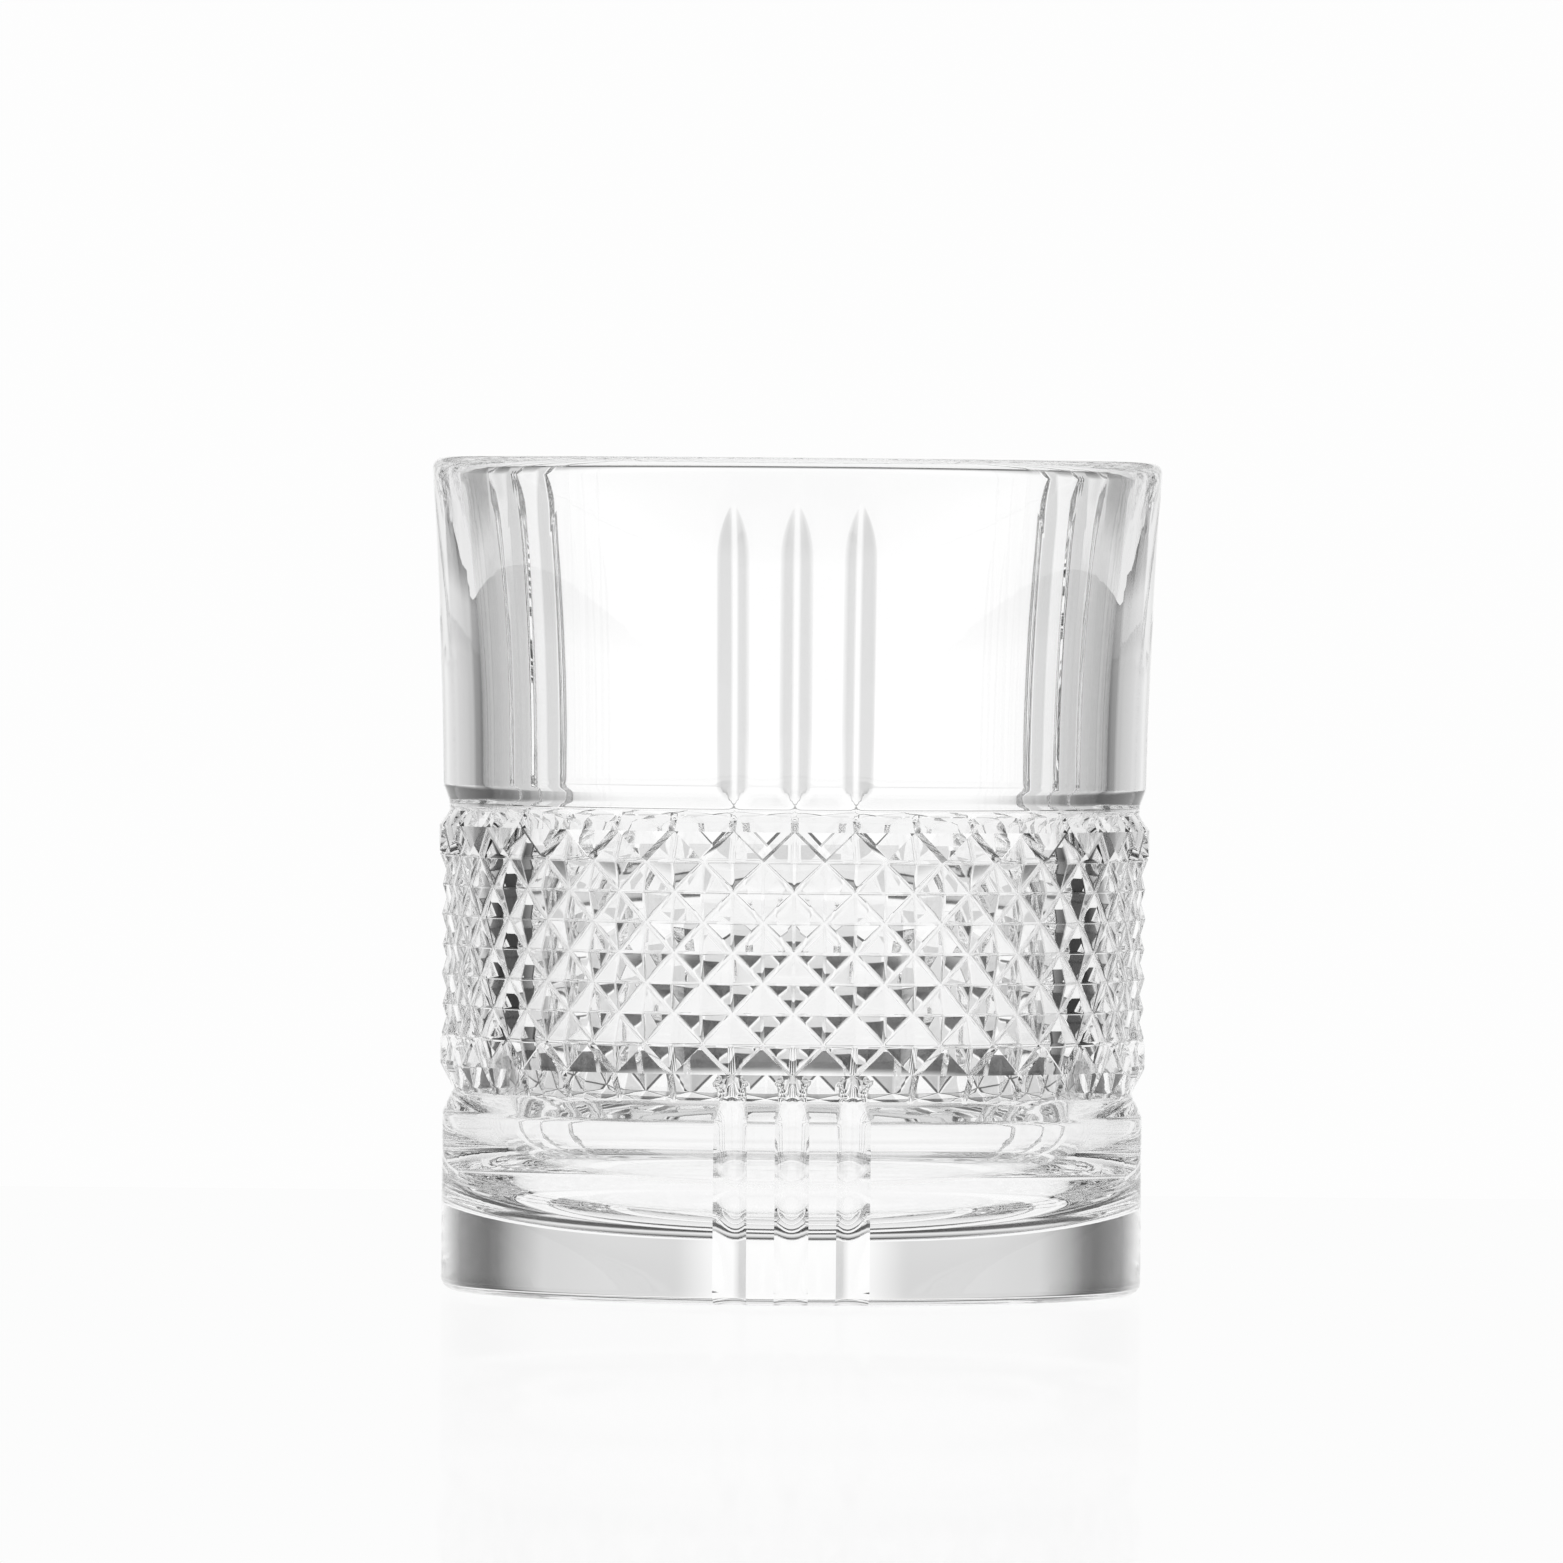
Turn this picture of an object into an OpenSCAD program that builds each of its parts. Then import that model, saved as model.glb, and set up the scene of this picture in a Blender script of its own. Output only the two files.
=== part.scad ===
// Whiskey tumbler of clear pressed glass, in one piece.
// Millimetres, +Z up, origin at the centre of the flat underside.
// From the base up: plain foot with a bevel, lower neck, band of cut diamonds,
// upper neck, shoulder, and a smooth barrel that flares to a rounded rim.
// Groups of vertical flutes run down the barrel and again down the foot.

/* [Overall] */
// Height from the underside to the top of the rim
height = 93; // [91:0.5:100]
// Outer diameter at the rim
rim_d = 81.6; // [81:0.2:84]
// Outer diameter of the barrel just above the shoulder
shoulder_d = 78.6; // [78.4:0.2:79.4]

/* [Foot] */
// Outer diameter of the foot
foot_d = 78.2; // [78:0.2:79]
// Height of the plain foot, up to the start of its bevel
foot_h = 20; // [18:0.5:20.5]
// Diameter of the lower neck, between foot and diamonds
lower_neck_d = 75.9; // [75.4:0.1:76]
// Radius of the rounding at the bottom edge
foot_edge_r = 1.4; // [0.8:0.1:2]

/* [Diamond band] */
// Height at which the lowest row of groove crossings lies
band_bottom = 25.4; // [25.2:0.2:26]
// Half the height of one diamond
diamond_half_h = 3.33; // [3.2:0.01:3.33]
// Half rows of diamonds between the two edges of the band
half_rows = 8; // [6:2:8]
// Diamonds around the tumbler
divisions = 36; // [36:6:48]
// Diameter over the uncut triangles at the band's upper edge
band_top_d = 79.5; // [79:0.1:79.8]
// Diameter over the uncut triangles at the band's lower edge
band_bottom_d = 78.8; // [78.6:0.1:79.4]
// Diameter over the points of the diamonds
diamond_point_d = 78.7; // [78.4:0.1:79]
// Depth of the grooves below the points
groove_depth = 0.95; // [0.6:0.05:1]
// Diameter of the upper neck, between diamonds and shoulder
upper_neck_d = 77.2; // [77:0.1:77.3]

/* [Flutes] */
// Groups of flutes around the tumbler
flute_groups = 3; // [3, 4, 6]
// Flutes in one group, one diamond apart
flutes_per_group = 3; // [1:2:5]
// Width of one flute at the surface
flute_w = 3.7; // [2.8:0.1:4]
// Depth of a barrel flute
barrel_flute_depth = 0.72; // [0.5:0.02:0.72]
// Distance from the rim down to the points of the barrel flutes
flute_tip_drop = 4.7; // [4:0.1:10]
// Length over which a barrel flute narrows to its point
flute_tip_l = 6.6; // [5:0.2:10]
// Depth of a foot flute
foot_flute_depth = 1.25; // [0.8:0.05:1.3]

/* [Inside] */
// Thickness of the wall at the rim
rim_wall = 2.5; // [2.2:0.1:3]
// Inner diameter where the wall begins to flare towards the rim
cup_d = 69.8; // [68.6:0.2:70.6]
// Height at which that flare begins
flare_start = 58; // [50:1:62]
// Inner diameter just above the rounding of the floor
cup_bottom_d = 67.6; // [66:0.2:68]
// Height at which the wall begins to round into the floor
bowl_top = 20.5; // [18:0.5:26]
// Thickness of the base under the middle of the floor
base_thickness = 6.5; // [6:0.5:12]
// Squareness of the rounding: 2 is an ellipse, higher is squarer
bowl_power = 2.9; // [2:0.1:4]

/* [Hidden] */

$fn = 96;
glass = [0.86, 0.90, 0.91, 0.45];

step_angle = 180 / divisions;
band_cols = 2 * divisions;
band_top = band_bottom + half_rows * diamond_half_h;
groove_r = diamond_point_d / 2 - groove_depth;

// The turned blank under the diamonds stays inside the groove bottoms
core_r = groove_r - 0.5;
upper_neck_r = upper_neck_d / 2;
lower_neck_r = lower_neck_d / 2;
neck_flat = 0.4;

lower_neck_z = band_bottom - 2.9;
upper_neck_z = band_top + 1.6;
shoulder_bottom = upper_neck_z + 2 * neck_flat;
shoulder_top = shoulder_bottom + 2;

foot_r = foot_d / 2;
rim_r = rim_d / 2;
shoulder_r = shoulder_d / 2;
lip_r = rim_wall / 2;
rim_z = height - lip_r;
barrel_steps = 4;
barrel_flare = 1.5;

function arc(centre, r, from, to, steps) =
    [for (i = [0:steps])
        let (a = from + (to - from) * i / steps)
        centre + r * [cos(a), sin(a)]];

// Radius of the smooth barrel: nearly straight at the shoulder, flaring upwards
function barrel_r(z) =
    shoulder_r + (rim_r - shoulder_r) * pow((z - shoulder_top) / (rim_z - shoulder_top), barrel_flare);

function barrel_outline() =
    [for (i = [0:barrel_steps])
        let (z = shoulder_top + (rim_z - shoulder_top) * i / barrel_steps)
        [barrel_r(z), z]];

// Outline of the turned blank, from the axis at the base to the rim's inner edge
function blank_outline() = concat(
    [[0, 0]],
    arc([foot_r - foot_edge_r, foot_edge_r], foot_edge_r, -90, 0, 4),
    [[foot_r, foot_h],
     [lower_neck_r, lower_neck_z - neck_flat / 2],
     [lower_neck_r, lower_neck_z + neck_flat / 2],
     [core_r - 0.4, band_bottom],
     [core_r, band_top],
     [upper_neck_r, upper_neck_z],
     [upper_neck_r, shoulder_bottom]],
    barrel_outline(),
    arc([rim_r - lip_r, rim_z], lip_r, 20, 160, 6),
    [[rim_r - rim_wall, rim_z], [0, rim_z]]);

module blank() {
    rotate_extrude() polygon(blank_outline());
}

// Diamonds: a ring of pyramids between two families of diagonal grooves.
// Even sums of column and row are groove crossings, odd sums are points.
function is_crossing(col, row) = (col + row) % 2 == 0;

function ring_r(col, row) =
    is_crossing(col, row) ? groove_r
    : row == 0 ? band_bottom_d / 2
    : row == half_rows ? band_top_d / 2
    : diamond_point_d / 2;

function ring_point(col, row) =
    let (r = ring_r(col, row), a = col * step_angle)
    [r * cos(a), r * sin(a), band_bottom + row * diamond_half_h];

// The ring's ends taper into the blank at the two necks
end_r = core_r - 0.6;
lower_end_z = band_bottom - 2 * (band_bottom_d / 2 - end_r);
upper_end_z = band_top + 1.4 * (band_top_d / 2 - end_r);

function end_ring(z) =
    [for (col = [0:band_cols - 1]) let (a = col * step_angle) [end_r * cos(a), end_r * sin(a), z]];

band_points = concat(
    end_ring(lower_end_z),
    [for (row = [0:half_rows], col = [0:band_cols - 1]) ring_point(col, row)],
    end_ring(upper_end_z));

// The two triangles of a cell; its diagonal is the groove where both ends are crossings
function cell(level, col) =
    let (next = (col + 1) % band_cols,
         a = level * band_cols + col,
         b = level * band_cols + next,
         c = (level + 1) * band_cols + next,
         d = (level + 1) * band_cols + col)
    (col + level) % 2 == 1 ? [[a, c, b], [a, d, c]] : [[a, d, b], [b, d, c]];

module diamond_ring() {
    levels = half_rows + 2;
    polyhedron(
        points = band_points,
        faces = concat(
            [for (level = [0:levels - 1], col = [0:band_cols - 1]) each cell(level, col)],
            [[for (col = [0:band_cols - 1]) col]],
            [[for (col = [band_cols - 1:-1:0]) levels * band_cols + col]]));
}

// Barrel flute: a V groove that follows the wall and rises to a point near the rim
flute_tip_z = height - flute_tip_drop;
flute_full_z = flute_tip_z - flute_tip_l;
flute_half_w_per_depth = flute_w / 2 / barrel_flute_depth;
flute_cutter_h = 1.2;

function flute_bottom_r(z) =
    z <= flute_full_z ? barrel_r(z) - barrel_flute_depth
    : barrel_r(z) - barrel_flute_depth * (1 - pow((z - flute_full_z) / flute_tip_l, 2));

// Height and bottom radius at each bend of a flute, from its foot in the neck to past its point
flute_levels = concat(
    [[shoulder_bottom - 0.3, upper_neck_r + 0.02]],
    [for (z = [(shoulder_top + flute_full_z) / 2, flute_full_z,
               flute_full_z + flute_tip_l / 2, flute_tip_z, flute_tip_z + 1])
        [z, flute_bottom_r(z)]]);

module barrel_flute() {
    last = len(flute_levels) - 1;
    half_w = flute_cutter_h * flute_half_w_per_depth;
    polyhedron(
        points = [for (level = flute_levels)
            each [[level[1], 0, level[0]],
                  [level[1] + flute_cutter_h, half_w, level[0]],
                  [level[1] + flute_cutter_h, -half_w, level[0]]]],
        faces = concat(
            [[0, 2, 1], [3 * last, 3 * last + 1, 3 * last + 2]],
            [for (i = [0:last - 1], k = [0:2])
                let (a = 3 * i + k, b = 3 * i + (k + 1) % 3)
                each [[a, b, a + 3], [b, b + 3, a + 3]]]));
}

// Foot flute: a round-bottomed groove from the underside up through the bevel
foot_flute_r = (pow(flute_w / 2 - 0.1, 2) + pow(foot_flute_depth, 2)) / 2 / foot_flute_depth;

module foot_flute() {
    translate([foot_r - foot_flute_depth + foot_flute_r, 0, -1])
        cylinder(r = foot_flute_r, h = lower_neck_z + 1);
}

module at_flutes() {
    middle = (flutes_per_group - 1) / 2;
    for (group = [0:flute_groups - 1], i = [-middle:middle])
        rotate(group * 360 / flute_groups + i * 2 * step_angle - 90) children();
}

// Inside of the glass: a bowl, a straight wall, and a flare that thins the wall to the rim
inner_rim_r = rim_r - rim_wall;
bowl_steps = 9;
flare_steps = 4;

function bowl_point(a) =
    [cup_bottom_d / 2 * pow(sin(a), 2 / bowl_power),
     bowl_top - (bowl_top - base_thickness) * pow(cos(a), 2 / bowl_power)];

function flare_point(share) =
    [cup_d / 2 + (inner_rim_r - cup_d / 2) * pow(share, 2), flare_start + (rim_z - flare_start) * share];

function cavity_outline() = concat(
    [for (i = [0:bowl_steps]) bowl_point(90 * i / bowl_steps)],
    [for (i = [0:flare_steps]) flare_point(i / flare_steps)],
    [[inner_rim_r, height + 1], [0, height + 1]]);

module cavity() {
    rotate_extrude() polygon(cavity_outline());
}

module glass_body() {
    color(glass) difference() {
        union() {
            blank();
            diamond_ring();
        }
        cavity();
        at_flutes() barrel_flute();
        at_flutes() foot_flute();
    }
}

glass_body();
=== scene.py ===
"""Whiskey tumbler of clear pressed glass: its fine surface, its glass, the studio and the camera."""

import math

import bpy
import numpy as np
from mathutils import Matrix, Vector


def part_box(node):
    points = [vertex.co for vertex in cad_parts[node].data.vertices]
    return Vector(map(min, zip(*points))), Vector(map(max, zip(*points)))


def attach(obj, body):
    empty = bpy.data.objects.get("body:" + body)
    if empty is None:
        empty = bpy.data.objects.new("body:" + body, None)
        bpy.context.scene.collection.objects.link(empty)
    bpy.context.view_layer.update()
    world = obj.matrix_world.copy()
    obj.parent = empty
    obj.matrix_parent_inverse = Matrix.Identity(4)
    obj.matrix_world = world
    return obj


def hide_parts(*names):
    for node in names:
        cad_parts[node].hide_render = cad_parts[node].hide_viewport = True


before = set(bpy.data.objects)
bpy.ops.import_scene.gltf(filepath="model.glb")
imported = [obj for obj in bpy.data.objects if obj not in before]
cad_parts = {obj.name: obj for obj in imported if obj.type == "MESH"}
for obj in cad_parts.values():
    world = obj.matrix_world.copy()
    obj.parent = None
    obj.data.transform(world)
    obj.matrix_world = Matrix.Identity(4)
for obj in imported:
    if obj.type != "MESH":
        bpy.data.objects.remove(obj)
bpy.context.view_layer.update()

# Lengths and heights are in millimetres, apart from the studio floor's, which are in metres
MM = 0.001
low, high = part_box("glass_body")
HEIGHT = (high.z - low.z) / MM
RIM_R = (high.x - low.x) / 2 / MM

# Foot and lower neck
FOOT_R = 39.1
FOOT_EDGE_R = 1.4
BEVEL_BOTTOM = 19.9
NECK_FLAT = 0.3
LOWER_NECK_R = 37.95
LOWER_NECK_Z = 22.5

# Diamond band: grooves cross on the rows, one row every half diamond. The lands are the uncut
# triangles at its two edges, and LAND_WALL is the width of their walls as a share of half a diamond.
SECTORS = 36
HALF_ROWS = 8
BAND_BOTTOM = 25.3
ROW_PITCH = 3.33
BAND_TOP = BAND_BOTTOM + HALF_ROWS * ROW_PITCH
GROOVE_R_TOP = 38.4
GROOVE_R_BOTTOM = 38.25
POINT_HEIGHT = 0.98
LAND_TOP_R = 39.72
LAND_BOTTOM_R = 39.4
FIRST_ROW_EXTRA = 0.2
LAND_WALL = 0.125

# Upper neck, shoulder and barrel, whose radius grows as a power of the height
UPPER_NECK_R = 38.58
UPPER_NECK_Z = 53.6
SHOULDER_BOTTOM = 54.6
SHOULDER_TOP = 56.5
SHOULDER_R = 39.3
BARREL_FLARE = 1.5

# Flutes: three side by side, in every third part of the round
FLUTE_PERIOD = 12
FLUTES_TOGETHER = 3
NOT_NEAR_A_FLUTE = 9.0
FLUTE_HALF_W = 1.86
BARREL_FLUTE_DEPTH = 0.74
FLUTE_FULL_Z = 81.7
FLUTE_TIP_Z = 88.3
FLUTE_BOTTOM_HALF_W = 0.28
FOOT_FLUTE_DEPTH = 1.25
FOOT_FLUTE_HALF_W = 1.74
FOOT_FLUTE_END_Z = 25.3
FOOT_FLUTE_LIFT = 0.6

# Inside: a wall that flares to the rim, and a bowl below it, rounded as a superellipse
RIM_WALL = 2.5
INNER_WALL_R = 34.9
INNER_DRAFT = 0.03
FLARE_START_Z = 58.0
BOWL_TOP_Z = 20.5
CUP_FLOOR_Z = 6.5
BOWL_POWER = 2.9

# Studio: every level of light below is raised to the power DEPTH, which deepens the darks
WHITE = 0.985
DEPTH = 1.5
FLOOR_SIDE = 0.3
FLOOR_BACK = 0.3
FLOOR_FRONT = -0.9
FLOOR_Z = -0.00002
FLOOR_GLOSS = 0.06
FLOOR_ROUGHNESS = 0.03

# Mesh: columns in half a diamond, its rounding at cut edges, and the sharpest angles shaded smooth
HALF_COLS = 8
EDGE_ROUND = 0.14
CRISP_ANGLE = 24
SOFT_ANGLE = 54


def barrel_r(z):
    share = np.clip((np.asarray(z) - SHOULDER_TOP) / (HEIGHT - RIM_WALL / 2 - SHOULDER_TOP), 0, 1)
    return SHOULDER_R + (RIM_R - SHOULDER_R) * share ** BARREL_FLARE


PROFILE = [
    (FOOT_EDGE_R, FOOT_R),
    (BEVEL_BOTTOM, FOOT_R),
    (LOWER_NECK_Z - NECK_FLAT / 2, LOWER_NECK_R),
    (LOWER_NECK_Z + NECK_FLAT / 2, LOWER_NECK_R),
    (BAND_BOTTOM - 0.1, LAND_BOTTOM_R),
    (BAND_TOP - 0.1, LAND_TOP_R),
    (UPPER_NECK_Z, UPPER_NECK_R),
    (SHOULDER_BOTTOM, UPPER_NECK_R),
    (SHOULDER_TOP, SHOULDER_R),
]


def sharp_profile(z):
    zs, rs = zip(*PROFILE)
    return np.where(np.asarray(z) >= SHOULDER_TOP, barrel_r(z), np.interp(z, zs, rs))


def turned_r(z, reach=0.35, samples=9):
    """Radius of the turned outline, its corners eased by averaging over a short reach."""
    offsets = np.linspace(-reach, reach, samples)
    weights = 1 - np.abs(offsets) / (reach * 1.05)
    return sum(w * sharp_profile(z + o) for w, o in zip(weights, offsets)) / weights.sum()


def soft_min(a, b, k=EDGE_ROUND):
    return np.minimum(a, b) - np.maximum(k - np.abs(a - b), 0) ** 2 / (4 * k)


def ridge_wave(x):
    """0 at even numbers, 1 at odd ones, straight between."""
    return np.abs((x + 1) % 2 - 1)


def band_profile(v, turn):
    """The cut band at v half rows below its upper edge; turn counts half sectors from the front."""
    share = v / HALF_ROWS
    groove = GROOVE_R_TOP + (GROOVE_R_BOTTOM - GROOVE_R_TOP) * share
    land = LAND_TOP_R + (LAND_BOTTOM_R - LAND_TOP_R) * share
    near = np.minimum(ridge_wave(turn - v), ridge_wave(turn + v))
    on_land = max(1 - v, v - HALF_ROWS + 1) >= 1 - ridge_wave(turn)
    rise = POINT_HEIGHT + FIRST_ROW_EXTRA * min(max(2 - v, 0), 1)
    points = groove + rise * near
    lands = groove + (land - groove) * np.minimum(near / LAND_WALL, 1)
    return np.where(on_land, lands, points)


def diamonds(z, turn):
    """The cut band, and the chamfers where its grooves run out into the two necks."""
    v = (BAND_TOP - z) / ROW_PITCH
    if v < 0:
        share = (z - BAND_TOP) / (UPPER_NECK_Z - BAND_TOP)
        return band_profile(0, turn) * (1 - share) + UPPER_NECK_R * share
    if v > HALF_ROWS:
        share = (BAND_BOTTOM - z) / (BAND_BOTTOM - LOWER_NECK_Z)
        return band_profile(HALF_ROWS, turn) * (1 - share) + LOWER_NECK_R * share
    return band_profile(v, turn)


def barrel_flute_r(z, side):
    """Surface of a barrel flute at a sideways distance from its middle."""
    tip = np.clip((z - FLUTE_FULL_Z) / (FLUTE_TIP_Z - FLUTE_FULL_Z), 0, 2)
    depth = BARREL_FLUTE_DEPTH * (1 - tip ** 2)
    bottom = np.maximum(barrel_r(z) - depth, UPPER_NECK_R + 0.03)
    slope = BARREL_FLUTE_DEPTH / (FLUTE_HALF_W - FLUTE_BOTTOM_HALF_W)
    return bottom + slope * (np.sqrt(side * side + FLUTE_BOTTOM_HALF_W ** 2) - FLUTE_BOTTOM_HALF_W)


def foot_flute_r(z, side):
    depth, half = FOOT_FLUTE_DEPTH, FOOT_FLUTE_HALF_W
    round_r = (half * half + depth * depth) / 2 / depth
    lift = FOOT_FLUTE_LIFT * np.clip((z - LOWER_NECK_Z) / (FOOT_FLUTE_END_Z - LOWER_NECK_Z), 0, 1)
    inside = np.minimum(side, round_r * 0.98)
    return FOOT_R - depth + lift + round_r - np.sqrt(round_r ** 2 - inside ** 2)


def outer_r(z, turn, r=None):
    """Radius of the outside at height z, where turn counts half sectors from the front."""
    r = turned_r(z) if r is None else r
    r = np.broadcast_to(r, turn.shape).astype(float)
    if LOWER_NECK_Z < z < UPPER_NECK_Z:
        r = diamonds(z, turn)
    sector = np.round(turn / 2)
    place = (sector + 1) % FLUTE_PERIOD
    aside = np.abs(turn - 2 * sector) * math.radians(180 / SECTORS) * r
    side = np.where(place < FLUTES_TOGETHER, aside, NOT_NEAR_A_FLUTE)
    if z > UPPER_NECK_Z:
        r = soft_min(r, barrel_flute_r(z, side))
    if z < FOOT_FLUTE_END_Z:
        r = soft_min(r, foot_flute_r(z, side))
    return r


# Columns of half a sector, evenly spaced or gathered along a diamond's ridges, and those of half a flute
EVEN = np.linspace(0, 1, HALF_COLS + 1)
GRADED = np.array([0, 0.06, 0.2, 0.35, 0.5, 0.65, 0.8, 0.94, 1])
FLUTE_SHARES = (0.1, 0.28, 0.62, 0.92)


def flute_cols(z):
    """Where the columns of half a sector stand, from 0 to 1, gathered along a flute's edge."""
    if z < LOWER_NECK_Z:
        half = FOOT_FLUTE_HALF_W
    else:
        tip = min(max((z - FLUTE_FULL_Z) / (FLUTE_TIP_Z - FLUTE_FULL_Z), 0), 1)
        half = FLUTE_HALF_W * max(1 - tip ** 2, 0.12)
    edge = half / (math.radians(180 / SECTORS) * FOOT_R)
    outside = edge * 1.08 + (1 - edge * 1.08) * np.array([0, 1 / 3, 2 / 3, 1])
    return np.concatenate([[0], edge * np.array(FLUTE_SHARES), outside])


def turns(half):
    """Every column of a row, in half sectors, from half a sector's columns."""
    sector = np.concatenate([-half[:0:-1], half[:-1]])
    return np.concatenate([2 * i + sector for i in range(SECTORS)])


def ring(r, z, turn):
    angle = np.radians(turn * 180 / SECTORS - 90)
    return np.stack([r * np.cos(angle), r * np.sin(angle), np.full_like(angle, z)], 1)


def spread(start, end, steps):
    return list(np.linspace(start, end, steps + 1))


def outside_ring(z, shares):
    turn = turns(shares)
    return ring(outer_r(z, turn), z, turn)


def foot_edge_rings():
    rings = []
    for a in np.radians(spread(-90, 0, 5)[:-1]):
        z = FOOT_EDGE_R * (1 + math.sin(a))
        turn = turns(flute_cols(z))
        rings.append(ring(outer_r(z, turn, FOOT_R) - FOOT_EDGE_R * (1 - math.cos(a)), z, turn))
    return rings


def band_rings():
    """The band between its chamfers. Its edge rows are evenly spaced, as the lands' walls need."""
    rings = [outside_ring(z, EVEN) for z in spread(LOWER_NECK_Z, BAND_BOTTOM, 6)[1:-1]]
    for row in range(HALF_ROWS):
        shares = EVEN if row in (0, HALF_ROWS - 1) else GRADED
        for share in shares[:-1]:
            rings.append(outside_ring(BAND_BOTTOM + (row + share) * ROW_PITCH, shares))
    upper = spread(BAND_TOP, UPPER_NECK_Z, 4) + [UPPER_NECK_Z + 0.35]
    return rings + [outside_ring(z, EVEN) for z in upper]


def outside_rings():
    plain = spread(FOOT_EDGE_R, BEVEL_BOTTOM - 0.4, 2)
    plain += spread(BEVEL_BOTTOM - 0.2, LOWER_NECK_Z - 0.1, 9)
    upper = spread(UPPER_NECK_Z + 0.7, SHOULDER_TOP + 0.4, 9) + spread(58, FLUTE_FULL_Z, 5)
    upper += spread(FLUTE_FULL_Z + 0.8, FLUTE_TIP_Z + 0.4, 9) + [HEIGHT - RIM_WALL / 2 - 0.8]
    rings = foot_edge_rings()
    rings += [outside_ring(z, flute_cols(z)) for z in plain]
    rings += band_rings()
    return rings + [outside_ring(z, flute_cols(z)) for z in upper]


def lip_rings(turn):
    centre_r, centre_z = RIM_R - RIM_WALL / 2, HEIGHT - RIM_WALL / 2
    rings = []
    for a in np.radians(spread(0, 180, 10)):
        r = centre_r + RIM_WALL / 2 * math.cos(a)
        rings.append(ring(r, centre_z + RIM_WALL / 2 * math.sin(a), turn))
    return rings


def inner_wall_r(z):
    flare = max(z - FLARE_START_Z, 0) / (HEIGHT - RIM_WALL / 2 - FLARE_START_Z)
    straight = INNER_WALL_R - INNER_DRAFT * max(FLARE_START_Z - z, 0)
    return straight + (RIM_R - RIM_WALL - INNER_WALL_R) * flare ** 2


def inside_rings(turn):
    wall = spread(HEIGHT - RIM_WALL / 2, FLARE_START_Z, 12)[1:]
    wall += spread(FLARE_START_Z, BOWL_TOP_Z, 2)[1:]
    rings = [ring(inner_wall_r(z), z, turn) for z in wall]
    wall_r = inner_wall_r(BOWL_TOP_Z)
    for a in np.radians(spread(0, 90, 24)[1:-1]):
        r = wall_r * math.cos(a) ** (2 / BOWL_POWER)
        z = BOWL_TOP_Z - (BOWL_TOP_Z - CUP_FLOOR_Z) * math.sin(a) ** (2 / BOWL_POWER)
        rings.append(ring(r, z, turn))
    return rings


def crease_cost(first, second):
    """Low along a groove's bottom or a ledge's edge, where both ends of a diagonal are level."""
    return np.abs(first - second) + (first + second) / 2


def band_faces(rings):
    """Two triangles for each cell between neighbouring rings, split along the crease that crosses it."""
    count = len(rings[0])
    radii = np.array([np.hypot(p[:, 0], p[:, 1]) for p in rings])
    here = np.arange(count)
    following = (here + 1) % count
    faces = []
    for k in range(len(rings) - 1):
        a, b = k * count + here, k * count + following
        c, d = b + count, a + count
        rising = (crease_cost(radii[k][here], radii[k + 1][following])
                  <= crease_cost(radii[k][following], radii[k + 1][here]))
        one = np.where(rising[:, None], np.stack([a, b, c], 1), np.stack([a, b, d], 1))
        two = np.where(rising[:, None], np.stack([a, c, d], 1), np.stack([b, c, d], 1))
        faces += [one, two]
    return np.concatenate(faces)


def cap_faces(start, centre, count, upwards):
    here = start + np.arange(count)
    following = start + (np.arange(count) + 1) % count
    middle = np.full(count, centre)
    order = [here, following, middle] if upwards else [following, here, middle]
    return np.stack(order, 1)


def sharp_edges(mesh, angle):
    mesh.set_sharp_from_angle(angle=math.radians(angle))
    sharp = np.zeros(len(mesh.edges), bool)
    if "sharp_edge" in mesh.attributes:
        mesh.attributes["sharp_edge"].data.foreach_get("value", sharp)
    return sharp


def polish(mesh):
    """Smooth shading: the diamonds' ridges and grooves are rounder than the other edges."""
    mesh.shade_smooth()
    crisp = sharp_edges(mesh, CRISP_ANGLE)
    soft = sharp_edges(mesh, SOFT_ANGLE)
    ends = np.zeros(len(mesh.edges) * 2, int)
    mesh.edges.foreach_get("vertices", ends)
    z = np.zeros(len(mesh.vertices) * 3)
    mesh.vertices.foreach_get("co", z)
    middle = z[2::3][ends].reshape(-1, 2).mean(1) / MM
    cut = (middle > BAND_BOTTOM + 0.1) & (middle < BAND_TOP - 0.1)
    marks = mesh.attributes.get("sharp_edge") or mesh.attributes.new("sharp_edge", "BOOLEAN", "EDGE")
    marks.data.foreach_set("value", np.where(cut, soft, crisp))


def glass_rings():
    """The whole skin as rings of points: underside, outside, lip and inside."""
    outside = outside_rings()
    edge = np.hypot(outside[0][:, 0], outside[0][:, 1])
    underside = [ring(edge * share, 0, turns(flute_cols(0))) for share in (0.5, 0.97)]
    rim_turns = turns(flute_cols(HEIGHT))
    return underside + outside + lip_rings(rim_turns) + inside_rings(rim_turns)


def glass_mesh():
    rings = glass_rings()
    count = len(rings[0])
    last = (len(rings) - 1) * count
    total = len(rings) * count
    points = np.concatenate(rings + [[[0, 0, 0], [0, 0, CUP_FLOOR_Z]]]) * MM
    faces = np.concatenate([
        band_faces(rings),
        cap_faces(0, total, count, False),
        cap_faces(last, total + 1, count, True)])
    mesh = bpy.data.meshes.new("tumbler_glass")
    mesh.from_pydata(points.tolist(), [], faces.tolist())
    mesh.validate()
    polish(mesh)
    return mesh


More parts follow.
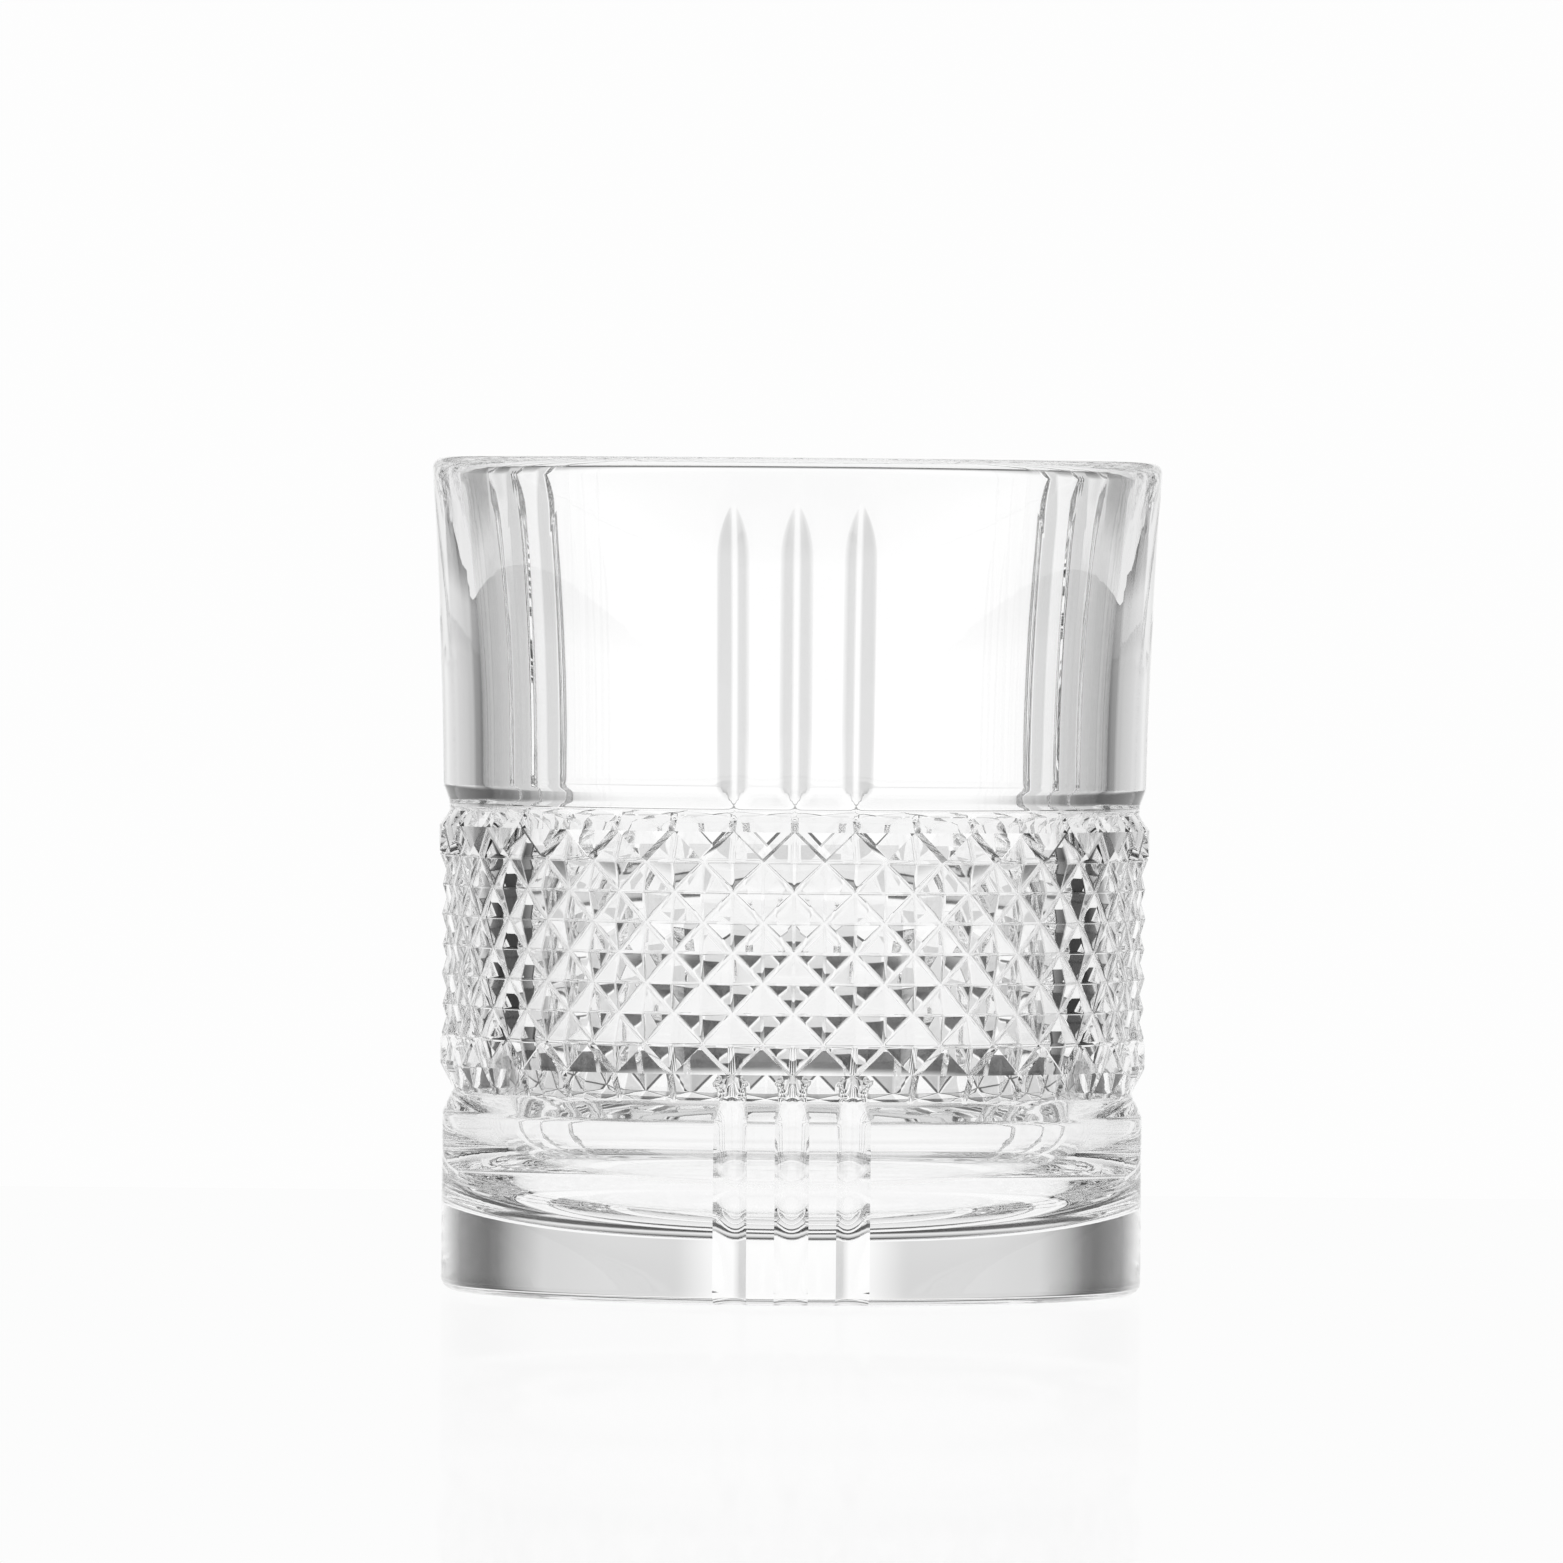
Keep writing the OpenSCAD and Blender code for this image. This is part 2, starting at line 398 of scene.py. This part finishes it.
def glass_material():
    material = bpy.data.materials.new("clear_glass")
    material.use_nodes = True
    shader = material.node_tree.nodes["Principled BSDF"]
    shader.inputs["Base Color"].default_value = (1, 1, 1, 1)
    shader.inputs["Roughness"].default_value = 0.0
    shader.inputs["IOR"].default_value = 1.52
    shader.inputs["Transmission Weight"].default_value = 1.0
    return material


def add_glass():
    mesh = glass_mesh()
    mesh.materials.append(glass_material())
    piece = bpy.data.objects.new("tumbler_glass", mesh)
    bpy.context.scene.collection.objects.link(piece)
    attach(piece, "root")
    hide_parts("glass_body")
    return piece


def link(tree, source, target):
    tree.links.new(source, target)


def feed(tree, socket, value):
    """Puts a number on a socket, or links another node's output to it."""
    if isinstance(value, (int, float)):
        socket.default_value = value
    else:
        link(tree, value, socket)


def math_node(tree, operation, *values):
    node = tree.nodes.new("ShaderNodeMath")
    node.operation = operation
    for socket, value in zip(node.inputs, values):
        feed(tree, socket, value)
    return node.outputs[0]


def ramp(tree, value, stops):
    """Levels of light, straight between the stops."""
    node = tree.nodes.new("ShaderNodeValToRGB")
    elements = node.color_ramp.elements
    while len(elements) > 1:
        elements.remove(elements[-1])
    for i, (place, level) in enumerate(stops):
        element = elements[0] if i == 0 else elements.new(place)
        element.position = place
        element.color = (*[level ** DEPTH] * 3, 1)
    link(tree, value, node.inputs[0])
    return node.outputs[0]


# Level round the horizon, by degrees from straight behind the tumbler (0) to the camera side (180)
BACKDROP = [(0, 1.0), (8, 1.0), (13, 0.78), (24, 0.78), (34, 0.74), (41, 0.5), (46, 0.22), (50, 0.05),
            (64, 0.06), (72, 0.4), (90, 0.95), (120, 1.1), (180, 1.1)]
# By degrees above or below the horizon: a dark gap over the backdrop, how the ceiling takes over
# from it, and the ceiling's own level with a second dark gap
DIP = [(0, 1.0), (10, 1.0), (12, 0.5), (14, 0.12), (19, 0.12), (24, 0.7), (30, 1.0), (90, 1.0)]
CEILING_SHARE = [(0, 0.0), (18, 0.0), (28, 1.0), (90, 1.0)]
CEILING = [(0, 0.95), (26, 0.95), (29, 0.12), (35, 0.12), (39, 0.95), (60, 0.8), (90, 0.6)]
# What is left of the ceiling past the dark cards, by degrees from straight behind
CEILING_SIDES = [(0, 1.0), (44, 1.0), (52, 0.12), (76, 0.12), (92, 0.9), (180, 1.0)]


def degree_ramp(tree, angle, limit, stops):
    """A ramp over an angle in radians, its stops in degrees up to a limit."""
    share = math_node(tree, "DIVIDE", angle, math.radians(limit))
    return ramp(tree, share, [(degrees / limit, level) for degrees, level in stops])


def blend(tree, share, first, second):
    node = tree.nodes.new("ShaderNodeMix")
    node.data_type = "FLOAT"
    feed(tree, node.inputs[0], share)
    feed(tree, node.inputs[2], first)
    feed(tree, node.inputs[3], second)
    return node.outputs[0]


def studio_level(tree):
    """The light from each direction: a bright backdrop, dark cards at its sides, and a ceiling."""
    where = tree.nodes.new("ShaderNodeTexCoord")
    split = tree.nodes.new("ShaderNodeSeparateXYZ")
    link(tree, where.outputs["Generated"], split.inputs[0])
    side = math_node(tree, "ABSOLUTE", math_node(tree, "ARCTAN2", split.outputs[0], split.outputs[1]))
    rise = math_node(tree, "ABSOLUTE", math_node(tree, "ARCSINE", split.outputs[2]))
    backdrop = math_node(
        tree, "MULTIPLY", degree_ramp(tree, side, 180, BACKDROP), degree_ramp(tree, rise, 90, DIP))
    ceiling = math_node(
        tree, "MULTIPLY", degree_ramp(tree, rise, 90, CEILING), degree_ramp(tree, side, 180, CEILING_SIDES))
    return blend(tree, degree_ramp(tree, rise, 90, CEILING_SHARE), backdrop, ceiling)


def add_world():
    """Plain white where the camera looks past the glass, and the studio's light where the glass looks."""
    world = bpy.data.worlds.new("studio")
    bpy.context.scene.world = world
    world.use_nodes = True
    tree = world.node_tree
    tree.nodes.clear()
    out = tree.nodes.new("ShaderNodeOutputWorld")
    background = tree.nodes.new("ShaderNodeBackground")
    paths = tree.nodes.new("ShaderNodeLightPath")
    level = blend(tree, paths.outputs["Is Camera Ray"], studio_level(tree), WHITE)
    link(tree, level, background.inputs["Color"])
    link(tree, background.outputs[0], out.inputs["Surface"])


def floor_material():
    """An even pale glow with a faint reflection."""
    material = bpy.data.materials.new("pale_floor")
    material.use_nodes = True
    tree = material.node_tree
    tree.nodes.clear()
    out = tree.nodes.new("ShaderNodeOutputMaterial")
    mix = tree.nodes.new("ShaderNodeMixShader")
    mix.inputs[0].default_value = FLOOR_GLOSS
    glow = tree.nodes.new("ShaderNodeEmission")
    glow.inputs["Color"].default_value = (WHITE, WHITE, WHITE, 1)
    gloss = tree.nodes.new("ShaderNodeBsdfGlossy")
    gloss.inputs["Roughness"].default_value = FLOOR_ROUGHNESS
    link(tree, glow.outputs[0], mix.inputs[1])
    link(tree, gloss.outputs[0], mix.inputs[2])
    link(tree, mix.outputs[0], out.inputs["Surface"])
    return material


def add_floor():
    """A plain floor that ends a little way behind the tumbler."""
    corners = [(-FLOOR_SIDE, FLOOR_FRONT), (FLOOR_SIDE, FLOOR_FRONT),
               (FLOOR_SIDE, FLOOR_BACK), (-FLOOR_SIDE, FLOOR_BACK)]
    mesh = bpy.data.meshes.new("floor")
    mesh.from_pydata([(x, y, FLOOR_Z) for x, y in corners], [], [(0, 1, 2, 3)])
    mesh.materials.append(floor_material())
    floor = bpy.data.objects.new("floor", mesh)
    bpy.context.scene.collection.objects.link(floor)


# Camera
CAMERA_DISTANCE = 1970
CAMERA_HEIGHT = 83.5
LENS = 406
AIM_X = -1.5
AIM_Z = 57
ROLL = math.radians(0.5)


def add_camera():
    data = bpy.data.cameras.new("camera")
    data.lens = LENS
    data.sensor_width = 36
    data.clip_start = 0.05
    data.clip_end = 50
    camera = bpy.data.objects.new("camera", data)
    bpy.context.scene.collection.objects.link(camera)
    place = Vector((AIM_X, -CAMERA_DISTANCE, CAMERA_HEIGHT)) * MM
    aim = Vector((AIM_X, 0, AIM_Z)) * MM
    turn = (aim - place).to_track_quat("-Z", "Y").to_matrix()
    camera.location = place
    camera.rotation_euler = (turn @ Matrix.Rotation(ROLL, 3, "Z")).to_euler()
    bpy.context.scene.camera = camera


def light_paths():
    scene = bpy.context.scene
    scene.view_settings.view_transform = "Standard"
    scene.cycles.max_bounces = 32
    scene.cycles.transmission_bounces = 32
    scene.cycles.glossy_bounces = 16
    scene.cycles.caustics_reflective = True
    scene.cycles.caustics_refractive = True


add_glass()
add_floor()
add_world()
add_camera()
light_paths()
